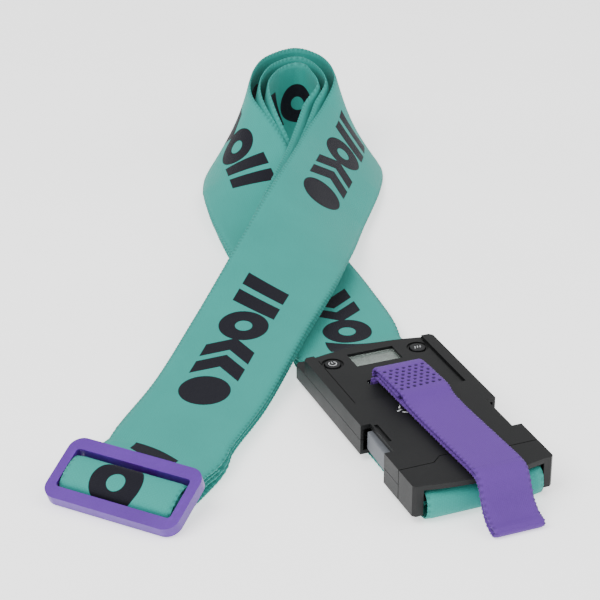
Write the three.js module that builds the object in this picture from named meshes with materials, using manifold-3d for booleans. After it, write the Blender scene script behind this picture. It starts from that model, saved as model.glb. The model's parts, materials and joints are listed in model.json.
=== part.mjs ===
// Luggage strap with a weighing buckle: a side-release buckle that holds a hand scale,
// a lifting handle, a tri-glide adjuster and one long polyester webbing, laid out closed
// on a table in a folded ribbon shape. Millimetres, +Z up, +Y from the handle to the loop.
import * as THREE from 'three';
import { mergeVertices } from 'three/addons/utils/BufferGeometryUtils.js';
import Module from 'manifold-3d';

const wasm = await Module();
wasm.setup();

// ---------------------------------------------------------------- driving dimensions
const ORIGIN_SHIFT = [-0.4, -1.4, 0.15];   // puts the centre of the part's base at the origin
const GAP = 0.4;                           // between the two halves of the buckle

const STRAP_WIDTH = 50;
const STRAP_THICK = 1.2;
const LAYER_PITCH = STRAP_THICK + 0.8;     // from one webbing layer to the next

const BUCKLE_POSITION = [70.6, -176.6, 3.3];
const BUCKLE_YAW = 22.3;                   // degrees
const BUCKLE_WIDTH = 60;
const BUCKLE_LENGTH = 109.5;
const EAR_END = 118.5;                     // back ends of the bottom shell's side walls
const BUCKLE_HEIGHT = 13.4;
const HALF = BUCKLE_WIDTH / 2;
const END_BULGE = 3;                       // arched front and back ends
const SPLIT_HEIGHT = 6.6;                  // between bottom shell and top cover
const WALL = 2;
const SKIN = 1.8;                          // floor and roof of the shells
const BRIDGE_WALL = 1.3;                   // thin walls beside the latch arms
const MALE_LENGTH = 13.4;                  // front segment, which pulls out
const BRIDGE_END = 27;                     // front end of the side notches
const NOTCH_END = 49.5;
const NOTCH_INNER = 25.8;                  // how near the centreline the notches reach
const SEAM_TAB = 3.6;                      // step of the seam in the middle of the top
const LATCH_BAY_END = 54.5;
const STRAP_BAY_START = 94;
const STRAP_BAY_HALF = 25.7;
const PANEL_START = 66.5;                  // sunken top panel behind the handle's path
const PANEL_HALF = 25;
const PANEL_DEPTH = 0.9;
const GROOVE_WIDTH = 0.9;                  // along the sides of the panel and round its front corners
const GROOVE_DEPTH = 0.5;
const GROOVE_TURN = 13;                    // the short cross grooves end this far from the centreline

const DISPLAY = { x: -0.5, y: 101.5, width: 21, depth: 11 };
const BUTTON_X = 19.7;
const BUTTON_Y = 101.8;
const BUTTON_RADIUS = 3.3;
const BUTTON_RING_RADIUS = 4.75;
const LOAD_PIN = { y: 81.5, z: 6, radius: 2 };
const SLOT_Y = LOAD_PIN.y;
const SLOT_WIDTH = 25;
const SLOT_DEPTH = 3.9;

const HANDLE_WIDTH = 22;
const HANDLE_THICK = 1.4;
const BATTERY_RADIUS = 10;
const BATTERY_Y = 67.1;
const STRAP_PIN = { y: 103.5, z: 3.6, radius: 1.7 };

const SLIDER_POSITION = [-67.6, -174, 8.5];
const SLIDER_YAW = -27.2;
const SLIDER_TILT = 24;
const SLIDER = { length: 59.6, depth: 29.6, thick: 5, rim: 5.5, end: 4.2, bar: 4, corner: 6 };

// ---------------------------------------------------------------- materials
const paint = (color, roughness, metalness = 0) =>
  new THREE.MeshStandardMaterial({ color, roughness, metalness });
const TEAL = paint('#7bb8b0', 0.85);
const PURPLE_WEB = paint('#8468ae', 0.85);
const PURPLE_PLASTIC = paint('#7450ae', 0.4);
const BLACK = paint('#26282a', 0.55);
const DARK = paint('#1b1d1f', 0.45);
const STEEL = paint('#b4b6b8', 0.3, 0.9);
const ALUMINIUM = paint('#c4c6c8', 0.4, 0.8);
const GREEN_BOARD = paint('#2c6b45', 0.6);
const DISPLAY_GREY = paint('#8d9a92', 0.35);
const LENS = paint('#3a4242', 0.1);
const LEAD = paint('#a03028', 0.6);

// ---------------------------------------------------------------- geometry helpers
const rad = THREE.MathUtils.degToRad;

function mesh(name, geometry, material) {
  const piece = new THREE.Mesh(geometry, material);
  piece.name = name;
  return piece;
}

function toSolid(geometry) {
  const bare = geometry.index ? geometry.clone() : geometry;
  bare.deleteAttribute('normal');
  bare.deleteAttribute('uv');
  const merged = mergeVertices(bare, 1e-5);
  return new wasm.Manifold(new wasm.Mesh({
    numProp: 3,
    vertProperties: new Float32Array(merged.attributes.position.array),
    triVerts: new Uint32Array(merged.index.array),
  }));
}

function toGeometry(solid) {
  const { vertProperties, triVerts } = solid.getMesh();
  const geometry = new THREE.BufferGeometry();
  geometry.setAttribute('position', new THREE.BufferAttribute(vertProperties, 3));
  geometry.setIndex(new THREE.BufferAttribute(triVerts, 1));
  return geometry;
}

// A plate with the outline of shape, from height z0 to z1.
function plate(shape, z0, z1, curveSegments = 8) {
  const geometry = new THREE.ExtrudeGeometry(shape, {
    depth: z1 - z0, bevelEnabled: false, curveSegments,
  });
  return toSolid(geometry.translate(0, 0, z0));
}

function block(x0, x1, y0, y1, z0, z1) {
  const box = new THREE.BoxGeometry(x1 - x0, y1 - y0, z1 - z0);
  return toSolid(box.translate((x0 + x1) / 2, (y0 + y1) / 2, (z0 + z1) / 2));
}

// An upright cylinder.
function post(x, y, radius, z0, z1, segments = 24) {
  const geometry = new THREE.CylinderGeometry(radius, radius, z1 - z0, segments).rotateX(Math.PI / 2);
  return toSolid(geometry.translate(x, y, (z0 + z1) / 2));
}

// A cylinder lying across the buckle.
function crossPin(y, z, radius, halfLength, segments = 16) {
  const geometry = new THREE.CylinderGeometry(radius, radius, 2 * halfLength, segments);
  return toSolid(geometry.rotateZ(Math.PI / 2).translate(0, y, z));
}

function outline(points) {
  return new THREE.Shape(points.map(([x, y]) => new THREE.Vector2(x, y)));
}

const mirrored = (points) => points.map(([x, y]) => [-x, y]).reverse();

function roundedRectangle(width, depth, radius, centreX = 0, centreY = 0) {
  const [x, y] = [width / 2, depth / 2];
  const shape = new THREE.Shape();
  shape.absarc(centreX + x - radius, centreY + y - radius, radius, 0, Math.PI / 2);
  shape.absarc(centreX - x + radius, centreY + y - radius, radius, Math.PI / 2, Math.PI);
  shape.absarc(centreX - x + radius, centreY - y + radius, radius, Math.PI, 1.5 * Math.PI);
  shape.absarc(centreX + x - radius, centreY - y + radius, radius, 1.5 * Math.PI, 2 * Math.PI);
  return shape;
}

// ---------------------------------------------------------------- webbing ribbons
// A station is { at, across }: a point on the middle of the webbing, and the unit vector
// from its low edge to its high edge. A ribbon is one closed strip through its stations.
function smoothStations(stations, step) {
  const middle = new THREE.CatmullRomCurve3(stations.map((s) => s.at), false, 'centripetal');
  const sideways = new THREE.CatmullRomCurve3(stations.map((s) => s.across), false, 'centripetal');
  const last = stations.length - 1;
  const dense = [];
  for (let i = 0; i < last; i++) {
    const steps = Math.max(1, Math.round(stations[i].at.distanceTo(stations[i + 1].at) / step));
    for (let k = 0; k < steps; k++) {
      const t = (i + k / steps) / last;
      dense.push({ at: middle.getPoint(t), across: sideways.getPoint(t).normalize() });
    }
  }
  dense.push(stations[last]);
  return dense;
}

// Adds the direction of travel and the face normal to each station.
function withFrames(stations) {
  return stations.map((station, i) => {
    const before = stations[Math.max(0, i - 1)].at;
    const after = stations[Math.min(stations.length - 1, i + 1)].at;
    const travel = after.clone().sub(before).normalize();
    const across = station.across.clone().addScaledVector(travel, -station.across.dot(travel)).normalize();
    return { at: station.at, across, normal: travel.clone().cross(across) };
  });
}

function ribbon(stations, width, thick, facets = 1) {
  const frames = withFrames(stations);
  const edge = Array.from({ length: facets + 1 }, (_, i) => -1 + 2 * i / facets);
  const corners = [...edge.map((side) => [side, -1]), ...edge.reverse().map((side) => [side, 1])];
  const ring = corners.length;
  const positions = [];
  for (const { at, across, normal } of frames) {
    for (const [side, face] of corners) {
      const corner = at.clone().addScaledVector(across, side * width / 2);
      positions.push(...corner.addScaledVector(normal, face * thick / 2).toArray());
    }
  }
  const index = [];
  const end = ring * (frames.length - 1);
  for (let k = 0; k < facets; k++) {
    const [a, b, c, d] = [k, k + 1, ring - 2 - k, ring - 1 - k];
    index.push(a, c, b, a, d, c);
    index.push(end + a, end + b, end + c, end + a, end + c, end + d);
  }
  for (let i = 0; i < frames.length - 1; i++) {
    for (let k = 0; k < ring; k++) {
      const [a, b] = [ring * i + k, ring * i + ((k + 1) % ring)];
      index.push(a, b, b + ring, a, b + ring, a + ring);
    }
  }
  const geometry = new THREE.BufferGeometry();
  geometry.setAttribute('position', new THREE.Float32BufferAttribute(positions, 3));
  geometry.setIndex(index);
  return geometry;
}

// Points on an arc in a side view (y forward or back, z up), from angle a0 to a1 in degrees.
function arcPoints(y, z, radius, a0, a1, steps = 8) {
  return Array.from({ length: steps + 1 }, (_, i) => {
    const angle = rad(a0 + (a1 - a0) * i / steps);
    return [y + radius * Math.cos(angle), z + radius * Math.sin(angle)];
  });
}

// Turns a side-view path [[y, z], ...] in a group's own frame into ribbon stations.
function sideViewStations(path, frame, x = 0) {
  const across = new THREE.Vector3(1, 0, 0).transformDirection(frame);
  return path.map(([y, z, shift = 0]) => ({
    at: new THREE.Vector3(x + shift, y, z).applyMatrix4(frame),
    across,
  }));
}

function placed(position, ...turns) {
  const group = new THREE.Group();
  group.position.set(...position);
  group.rotation.set(...turns.map(rad), 'ZYX');
  group.updateMatrixWorld(true);
  return group;
}

const part = new THREE.Group();
const buckle = placed(BUCKLE_POSITION, 0, 0, BUCKLE_YAW);
const slider = placed(SLIDER_POSITION, SLIDER_TILT, 0, SLIDER_YAW);
part.add(buckle, slider);

const addTo = (group, name, solid, material) => group.add(mesh(name, toGeometry(solid), material));

// ---------------------------------------------------------------- housing of the scale
// The arched end edges: how far the edge stands out at x.
const bulge = (x, half = PANEL_HALF) => END_BULGE * Math.max(0, 1 - (x / half) ** 2);

// Plan outline of the female half: seam with its stepped tab, notches, side walls that end at
// wallEnd, arched back.
function housingOutline(wallEnd) {
  const front = MALE_LENGTH + GAP;
  const right = [
    [11, front + SEAM_TAB], [15, front], [HALF, front], [HALF, BRIDGE_END],
    [NOTCH_INNER, BRIDGE_END], [NOTCH_INNER, NOTCH_END], [HALF, NOTCH_END],
    [HALF, wallEnd - 1.5], [HALF - 1.5, wallEnd], [STRAP_BAY_HALF - 0.3, wallEnd],
  ];
  const back = Array.from({ length: 9 }, (_, i) => PANEL_HALF * (1 - i / 4))
    .map((x) => [x, BUCKLE_LENGTH + bulge(x)]);
  return outline([...right, ...back, ...mirrored(right)]);
}

const shellScrews = [[-25, 61], [25, 61], [-25, 80], [25, 80]];
const ROOF = BUCKLE_HEIGHT - SKIN - 0.2;   // underside of the top cover

function topCover() {
  const floor = SPLIT_HEIGHT + 0.2;
  const body = plate(housingOutline(BUCKLE_LENGTH), floor, BUCKLE_HEIGHT);
  const { x, y, width, depth } = DISPLAY;
  const cavities = [
    block(-HALF + BRIDGE_WALL, HALF - BRIDGE_WALL, MALE_LENGTH - 1, LATCH_BAY_END, 0, ROOF),
    block(-HALF + WALL, HALF - WALL, LATCH_BAY_END + WALL, BUCKLE_LENGTH - WALL, 0, ROOF),
    block(-PANEL_HALF, PANEL_HALF, PANEL_START, BUCKLE_LENGTH + END_BULGE + 1,
      BUCKLE_HEIGHT - PANEL_DEPTH, BUCKLE_HEIGHT + 1),
    block(x - width / 2, x + width / 2, y - depth / 2, y + depth / 2, 10, 14),
    plate(roundedRectangle(SLOT_WIDTH, SLOT_DEPTH, 1.2, 0, SLOT_Y), 10, 14, 4),
    block(-25, -23.4, NOTCH_END - 15.2, NOTCH_END - 1.6, BUCKLE_HEIGHT - 0.8, BUCKLE_HEIGHT + 1),
  ];
  const grooveFloor = BUCKLE_HEIGHT - PANEL_DEPTH - GROOVE_DEPTH;
  for (const side of [-1, 1]) {
    const grooveX = side * (PANEL_HALF - GROOVE_WIDTH / 2);
    const turnX = side * (PANEL_HALF + GROOVE_TURN) / 2;
    const turnHalf = (PANEL_HALF - GROOVE_TURN) / 2;
    cavities.push(block(grooveX - GROOVE_WIDTH / 2, grooveX + GROOVE_WIDTH / 2,
      PANEL_START, BUCKLE_LENGTH - 3, grooveFloor, BUCKLE_HEIGHT));
    cavities.push(block(turnX - turnHalf, turnX + turnHalf,
      PANEL_START, PANEL_START + GROOVE_WIDTH, grooveFloor, BUCKLE_HEIGHT));
    cavities.push(post(side * BUTTON_X, BUTTON_Y, BUTTON_RADIUS + GAP, 10, 14));
    cavities.push(post(side * BUTTON_X, BUTTON_Y, BUTTON_RING_RADIUS, 11.8, 14));
  }
  let solid = body;
  for (const cavity of cavities) solid = solid.subtract(cavity);
  for (const [sx, sy] of shellScrews) {
    solid = solid.add(post(sx, sy, 2.4, floor, ROOF + 0.2, 16));
    solid = solid.subtract(post(sx, sy, 1.2, floor - 1, ROOF - 0.4, 12));
  }
  return solid;
}

function bottomShell() {
  const top = SPLIT_HEIGHT;
  const bayEnd = EAR_END + 1;
  let solid = plate(housingOutline(EAR_END), 0, top);
  const cavities = [
    block(-HALF + BRIDGE_WALL, HALF - BRIDGE_WALL, MALE_LENGTH - 1, LATCH_BAY_END, SKIN, top + 1),
    block(-HALF + WALL, HALF - WALL, LATCH_BAY_END + WALL, STRAP_BAY_START - 1.7, SKIN, top + 1),
    block(-STRAP_BAY_HALF, STRAP_BAY_HALF, STRAP_BAY_START, bayEnd, -1, top + 1),
    crossPin(STRAP_PIN.y, STRAP_PIN.z, STRAP_PIN.radius + 0.3, HALF - 1.3),
    post(0, BATTERY_Y, BATTERY_RADIUS + 1.7, -1, SKIN + 1, 32),
  ];
  for (const cavity of cavities) solid = solid.subtract(cavity);
  for (const [sx, sy] of shellScrews) {
    solid = solid.add(post(sx, sy, 3.3, 0.5, top, 16));
    solid = solid.subtract(post(sx, sy, 1.2, -1, top + 1, 12));
    solid = solid.subtract(post(sx, sy, 2.5, -1, 1.5, 16));
  }
  for (const sx of [-22, 22]) {
    solid = solid.add(post(sx, 88.5, 2.6, SKIN - 0.3, 2.9, 16));
    solid = solid.subtract(post(sx, 88.5, 1.5, 0.6, 4, 12));
  }
  return solid;
}

addTo(buckle, 'top_cover', topCover(), BLACK);
addTo(buckle, 'bottom_shell', bottomShell(), BLACK);

shellScrews.forEach(([x, y], i) => {
  const screw = post(x, y, 2.2, 0.35, 1.3, 16).add(post(x, y, 0.9, 1.2, 10.4, 12));
  const recess = block(x - 1.5, x + 1.5, y - 0.3, y + 0.3, 0, 0.8);
  addTo(buckle, `shell_screw_${i + 1}`, screw.subtract(recess), STEEL);
});

// ---------------------------------------------------------------- display and buttons
{
  const { x, y } = DISPLAY;
  addTo(buckle, 'lcd_window', block(x - 12, x + 12, y - 5.7, y + 5.7, 10.3, 11.1), LENS);
  addTo(buckle, 'lcd_panel', block(x - 11.3, x + 11.3, y - 5.5, y + 5.5, 8.4, 9.9), DISPLAY_GREY);
  addTo(buckle, 'circuit_board', block(-24, 24, 93.5, 106.8, 7, 8), GREEN_BOARD);
  addTo(buckle, 'driver_chip', block(12.2, 15.6, 98.5, 102.5, 8.3, 9.3), DARK);
}
for (const [name, side] of [['power', -1], ['unit', 1]]) {
  const x = side * BUTTON_X;
  const cap = post(x, BUTTON_Y, BUTTON_RADIUS, 10.2, 12.6).add(post(x, BUTTON_Y, 4.3, 10.2, 10.9));
  addTo(buckle, `${name}_button`, cap, DARK);
  const base = block(x - 2.6, x + 2.6, BUTTON_Y - 2.6, BUTTON_Y + 2.6, 8.3, 8.9);
  addTo(buckle, `${name}_switch`, base.add(post(x, BUTTON_Y, 1.4, 8.8, 9.2, 16)), DARK);
}

// ---------------------------------------------------------------- weighing parts
{
  const beamY = 88.5;
  let beam = block(-26.5, 26.5, beamY - 2.9, beamY + 2.9, 3.2, 7.4);
  for (const side of [-1, 1]) {
    beam = beam.subtract(block(side * 12 - 4, side * 12 + 4, beamY - 4, beamY + 4, 4.2, 6.4));
    beam = beam.subtract(post(side * 22, beamY, 1.5, 3, 8, 12));
    const screw = post(side * 22, beamY, 2.3, 7.7, 8.8, 16).add(post(side * 22, beamY, 1.1, 1, 7.8, 12));
    const slot = block(side * 22 - 1.6, side * 22 + 1.6, beamY - 0.3, beamY + 0.3, 8.2, 9);
    addTo(buckle, side < 0 ? 'cell_screw_left' : 'cell_screw_right', screw.subtract(slot), STEEL);
  }
  addTo(buckle, 'load_cell', beam, ALUMINIUM);

  let yoke = block(-14.2, 14.2, beamY - 3.2, beamY + 3.2, 2.1, 2.9);
  for (const side of [-1, 1]) {
    const [inner, outer] = [12.6, 14.2].map((x) => side * x).sort((a, b) => a - b);
    yoke = yoke.add(block(inner, outer, SLOT_Y - 3.2, beamY + 3.2, 2.1, 2.9));
    yoke = yoke.add(block(inner, outer, SLOT_Y - 3.2, SLOT_Y + 3.2, 2.1, 9.2));
  }
  yoke = yoke.subtract(crossPin(LOAD_PIN.y, LOAD_PIN.z, LOAD_PIN.radius + 0.3, 20));
  addTo(buckle, 'load_yoke', yoke, STEEL);
  addTo(buckle, 'load_pin', crossPin(LOAD_PIN.y, LOAD_PIN.z, LOAD_PIN.radius, 15), STEEL);
  addTo(buckle, 'strap_pin', crossPin(STRAP_PIN.y, STRAP_PIN.z, STRAP_PIN.radius, HALF - 1.6), STEEL);
}

// ---------------------------------------------------------------- battery
addTo(buckle, 'coin_battery', post(0, BATTERY_Y, BATTERY_RADIUS, 2.4, 5.6, 32), STEEL);
{
  const cap = post(0, BATTERY_Y, BATTERY_RADIUS + 1.3, 0.1, 1.5, 32)
    .add(post(0, BATTERY_Y, BATTERY_RADIUS, 1.4, 2, 32))
    .subtract(block(-6, 6, BATTERY_Y - 0.8, BATTERY_Y + 0.8, 0, 0.8));
  addTo(buckle, 'battery_cap', cap, BLACK);
  const topSpring = block(-3, 3, 56.8, BATTERY_Y + 5, 5.9, 6.2).add(block(-3, 3, 56.8, 57.2, 6, 9));
  addTo(buckle, 'battery_contact_top', topSpring, STEEL);
  const sideSpring = block(10.6, 11, BATTERY_Y - 4, BATTERY_Y + 4, 2.4, 6.2)
    .add(block(10.6, 14, BATTERY_Y - 1.5, BATTERY_Y + 1.5, 5.9, 6.2));
  addTo(buckle, 'battery_contact_side', sideSpring, STEEL);
}

// A thin insulated wire through a few points, in the buckle's frame.
function wire(points, radius) {
  const route = new THREE.CatmullRomCurve3(points.map((p) => new THREE.Vector3(...p)), false, 'centripetal');
  const section = new THREE.Shape();
  section.absarc(0, 0, radius, 0, 2 * Math.PI);
  return new THREE.ExtrudeGeometry(section, { steps: 14, curveSegments: 4, extrudePath: route });
}
buckle.add(mesh('load_cell_lead', wire(
  [[16.8, 87, 8.1], [16.8, 90, 8.9], [16, 93.5, 9.1], [15.5, 96, 8.8]], 0.45), LEAD));
buckle.add(mesh('battery_lead', wire(
  [[-3.8, 72, 6.9], [-9, 76, 8.6], [-16.6, 79.5, 10], [-17.2, 90, 9.6], [-15, 96, 8.8]], 0.45), LEAD));

// ---------------------------------------------------------------- male half
function maleBase() {
  const rear = MALE_LENGTH;
  const rearTab = [
    [-HALF, rear], [-15, rear], [-11, rear + SEAM_TAB],
    [11, rear + SEAM_TAB], [15, rear], [HALF, rear],
  ];
  const front = Array.from({ length: 9 }, (_, i) => STRAP_BAY_HALF * (1 - i / 4))
    .map((x) => [x, -bulge(x, STRAP_BAY_HALF)]);
  const roof = outline([...rearTab.reverse(), [-HALF, 1.2], [-HALF + 1.2, 0], ...front.reverse(),
    [HALF - 1.2, 0], [HALF, 1.2]].reverse());
  let solid = plate(roof, 11.2, BUCKLE_HEIGHT);
  for (const side of [-1, 1]) {
    const cheek = [[STRAP_BAY_HALF, 0], [HALF - 1.2, 0], [HALF, 1.2], [HALF, rear], [STRAP_BAY_HALF, rear]];
    solid = solid.add(plate(outline(side > 0 ? cheek : mirrored(cheek)), 0, 11.4));
  }
  solid = solid.add(block(-STRAP_BAY_HALF - 1, STRAP_BAY_HALF + 1, 8.8, rear, 0, 11.4));
  solid = solid.add(block(-7, 7, rear - 1, 40, 3, 10.4));
  return solid.add(crossPin(3.6, 6, 1.9, STRAP_BAY_HALF + 1, 12));
}
addTo(buckle, 'male_base', maleBase(), BLACK);

function latchArm(side) {
  const root = MALE_LENGTH + GAP;
  const [padFront, padBack] = [BRIDGE_END + 0.5, NOTCH_END - 0.9];
  const right = [
    [23.6, root], [28.2, root], [28.3, padFront + 4], [27.5, padBack], [22.6, padBack], [22.6, 30],
    [24.6, padFront - 2], [24.6, root + 4], [23.6, root + 3],
  ];
  return plate(outline(side > 0 ? right : mirrored(right)), 2.7, 10.7);
}
addTo(buckle, 'left_latch_arm', latchArm(-1), BLACK);
addTo(buckle, 'right_latch_arm', latchArm(1), BLACK);

// ---------------------------------------------------------------- slider
{
  const { length, depth, thick, rim, end, bar, corner } = SLIDER;
  const window = roundedRectangle(length - 2 * end, depth - 2 * rim, 1.5);
  const frame = plate(roundedRectangle(length, depth, corner), -thick / 2, thick / 2)
    .subtract(plate(window, -thick, thick, 3));
  const centreBar = block(-length / 2 + end - 1, length / 2 - end + 1, -bar / 2, bar / 2, -thick / 2, -0.3);
  addTo(slider, 'slider_frame', frame.add(centreBar), PURPLE_PLASTIC);
}

// ---------------------------------------------------------------- lifting handle
// Side-view paths in the buckle's frame. The webbing bends forward just above the slot.
const flatStations = (path) => sideViewStations(path, new THREE.Matrix4());
const anchorPath = [
  [80.55, 13.6], [80.55, 11.4], [79.6, 9.4], [78.5, 7.2],
  ...arcPoints(LOAD_PIN.y, LOAD_PIN.z, LOAD_PIN.radius + 1, 180, 360),
  [84.5, 7.2], [83.4, 9.4], [82.45, 11.4], [82.45, 13.6],
];
buckle.add(mesh('handle_anchor', ribbon(flatStations(anchorPath), HANDLE_WIDTH, HANDLE_THICK), PURPLE_WEB));

// The handle lies doubled on the buckle. Its end hangs over the front edge, in a node of its own,
// because it is lifted when the male half is drawn out below it.
const lowerRun = [
  [80.6, 14.6, 0.5], [79, 15.1, 0.6], [76, 15.2, 0.7], [64, 15, 1.3], [45, 14.6, 2.2], [25, 14.4, 3.2],
  [4, 14.4, 4.2], [-1, 14.4, 4.4],
];
const hangingEnd = [
  [-1.3, 14.4, 4.4], [-3.4, 14.1, 4.5], [-6.2, 12.2, 4.6], [-8.1, 8, 4.7], [-9.7, 4, 4.8], [-12.2, 0.4, 4.9],
  [-15.4, -1.8, 4.9], [-18.7, -2.55, 4.9],
  ...arcPoints(-19.2, -1.1, 1.45, -90, -270, 6).map(([y, z]) => [y, z, 4.9]),
  [-17.6, 0.5, 4.9], [-14.2, 2.1, 4.9], [-11.2, 5.2, 4.8], [-8.7, 10, 4.7], [-6.7, 14, 4.6],
  [-3.8, 16.2, 4.5],
  [-1.3, 16.5, 4.4],
];
const upperRun = [
  [-1, 16.5, 4.4], [4, 16.5, 4.2], [25, 16.4, 3.2], [45, 16.6, 2.2], [53, 17.4, 1.8], [56.5, 18.8, 1.7],
  [60, 19.2, 1.5], [66, 19.2, 1.2], [78, 19.1, 0.6], [81.2, 18.4, 0.5], [82.2, 16.6, 0.5], [82.3, 14.6, 0.5],
];
for (const [name, path] of [['lower_run', lowerRun], ['hanging_end', hangingEnd], ['upper_run', upperRun]]) {
  const geometry = ribbon(smoothStations(flatStations(path), 4), HANDLE_WIDTH, HANDLE_THICK);
  buckle.add(mesh(`handle_${name}`, geometry, PURPLE_WEB));
}
const LAP = { x: 1, front: 59, back: 79, z: 17.1, thick: 1.8 };   // sewn-down end between the two runs
addTo(buckle, 'handle_lap', block(LAP.x - HANDLE_WIDTH / 2, LAP.x + HANDLE_WIDTH / 2,
  LAP.front, LAP.back, LAP.z - LAP.thick / 2, LAP.z + LAP.thick / 2), PURPLE_WEB);

// ---------------------------------------------------------------- strap webbing
// Leg and loop stations of the outer layer: centre x, y, z, then the heading of the line from
// the low edge to the high edge and how far it leans up, in degrees.
function station(x, y, z, heading, lean) {
  const flat = Math.cos(rad(lean));
  const across = new THREE.Vector3(
    flat * Math.cos(rad(heading)), flat * Math.sin(rad(heading)), Math.sin(rad(lean)));
  return { at: new THREE.Vector3(x, y, z), across };
}
// A loop station from the places of its low edge and of its high edge.
function edges(lowX, lowY, highX, highY, highZ) {
  const low = new THREE.Vector3(lowX, lowY, 0.8);
  const across = new THREE.Vector3(highX, highY, highZ).sub(low).normalize();
  return { at: low.clone().addScaledVector(across, STRAP_WIDTH / 2), across };
}

const frontLeg = [
  station(-50.5, -135, 7.6, 156, 0), station(-37.5, -100, 8.6, 161, 1), station(-21.5, -49, 14, 163, 3),
  station(-3, 8, 21, 165, 16), station(12, 71, 20.6, 168, 37), station(22, 115, 20.5, 170, 40),
];
const loop = [
  edges(43, 149, 13, 151, 41), edges(31, 177, 17, 172, 49), edges(15, 195, 10, 191, 51),
  edges(-3, 201, -3, 201, 51),
  edges(-21, 190, -18, 188, 51), edges(-33, 172, -24.5, 168, 50), edges(-48, 142, -24, 146, 44),
];
const backLeg = [station(-29, 113, 18.5, 11, 33), station(-13, 57, 6.8, 16, 3)];
const flatLeg = (z) => [station(8, -2, z, 19, 0), station(18, -36, z, 21, 0)];
const BOTTOM_LAYER_Z = 0.8;

// The legs and loop of a layer, counted inwards from the outer one. Where the webbing stands
// upright, in the loop, the inner layers are shorter and part from the outer one.
const LOOP_GAPS = [0, 3.06, 5.6];          // further apart where they lean
const LOOP_SHORTER = [0, 8.5, 13.4];
const LOOP_START_Y = 135;
const LOOP_TIP_Y = 201;
function layer(number) {
  const outer = withFrames([...frontLeg, ...loop, ...backLeg, ...flatLeg(BOTTOM_LAYER_Z + 2 * LAYER_PITCH)]);
  return outer.map(({ at, across, normal }) => {
    const leaning = THREE.MathUtils.smoothstep(across.z, 0.29, 0.865);
    const inwards = number * LAYER_PITCH + LOOP_GAPS[number] * leaning;
    const moved = at.clone().addScaledVector(normal, -inwards);
    moved.y -= LOOP_SHORTER[number] * Math.max(0, at.y - LOOP_START_Y) / (LOOP_TIP_Y - LOOP_START_Y);
    const lowEdge = moved.z - across.z * STRAP_WIDTH / 2 - Math.abs(normal.z) * STRAP_THICK / 2;
    const lift = Math.max(0, 0.2 - lowEdge);
    if (across.z > 0.25) moved.addScaledVector(across, lift / across.z);
    else moved.z += lift;
    return { at: moved, across };
  });
}

const inSlider = (path) => sideViewStations(path, slider.matrixWorld).map(({ at, across }) =>
  ({ at, across: across.clone().negate() }));
const inBuckle = (path) => sideViewStations(path, buckle.matrixWorld);
// A height above the table, seen in the slider's tilted side view.
const tableLevel = (y, z) =>
  (z - SLIDER_POSITION[2] - y * Math.sin(rad(SLIDER_TILT))) / Math.cos(rad(SLIDER_TILT));
const humpPath = [
  [8, tableLevel(8, 0.8)], [-2, tableLevel(-2, 0.8)], [-5.5, tableLevel(-5.5, 0.85)],
  [-7.3, -4.85], [-8.15, -3.4],
  [-8.3, -1.6], [-7.9, 0.6], [-6.3, 2.2], [-3.4, 3], [0, 3.2], [3.4, 2.8], [6, 1.6], [7.5, -0.4], [8.1, -2.6],
  [9, -3.9], [10.4, -4.7], [13, -6], [18, -8.1], [27, -12.9],
];
const pinPath = [
  [131, 2], [122, 3.8], [114, 5.7], [108, 5.8],
  ...arcPoints(STRAP_PIN.y, STRAP_PIN.z, STRAP_PIN.radius + 0.9, 90, 270, 8),
  [108, 0.75], [113, 1.6], [118, 1.4], [124, 0.9],
];
const STEP = 7;
const FACETS = 3;
function strap(name, stations) {
  const geometry = ribbon(smoothStations(stations, STEP), STRAP_WIDTH, STRAP_THICK, FACETS);
  part.add(mesh(name, geometry, TEAL));
}
strap('webbing_outer_run', [...inSlider(humpPath), ...layer(0), ...inBuckle(pinPath)]);

const CUT_Y = 114;                         // where the piece that pulls out with the male half ends
strap('webbing_inner_run', [
  ...inSlider([[8.5, tableLevel(8.5, 0.8)], [18, tableLevel(18, 1)], [27, tableLevel(27, 1.8)]]),
  ...layer(2), ...inBuckle([[128, -2.5], [118, -2.5], [CUT_Y + 0.5, -2.5]]),
]);

const sewnEnd = [
  [27, -14.9], [18, -10.2], [13, -8], [8.6, -6], [5, -3.3], [3.5, -1.4], [3.1, 0], [2, 0.65], [-2, 0.65],
  [-3.1, 0], [-3.4, -1.4], [-3, -2.9], [-2, -3.45], [0, -3.5], [3, -4.2], [7, -7.4], [12, -9.9], [18, -12.4],
  [27, -16.9],
];
strap('webbing_middle_run', [
  ...inSlider(sewnEnd), ...layer(1), ...inBuckle([[128, -0.7], [118, -0.9], [CUT_Y + 0.5, -0.9]]),
]);

const wrapPath = [
  [CUT_Y, -2.5], [60, -2.5], [8, -2.5], [3, -2.4], [0, -1.5], [-1.5, 0.6], [-1.9, 3.6],
  [-1.3, 6.8], [0.6, 8.8],
  [3.6, 9.3], [6.2, 8], [6.9, 5.4], [6.8, 2.4], [7.2, 0.3], [9, -0.85], [14, -0.9], [60, -0.9], [CUT_Y, -0.9],
];
const wrap = ribbon(inBuckle(wrapPath), STRAP_WIDTH, STRAP_THICK, FACETS);
part.add(mesh('webbing_buckle_run', wrap, TEAL));

part.position.set(...ORIGIN_SHIFT);

export default part;
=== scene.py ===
"""Looks of a luggage strap with a weighing buckle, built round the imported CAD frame.

Lengths are in millimetres up to the point where a mesh is made, which is in metres. +Z is up,
+Y runs from the lifting handle to the far loop. The buckle's own frame has x across it, y from
its front edge to its back edge and z up from its underside. The adjuster's own frame has x
along it and y towards the loop.
"""
import json
import math

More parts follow.
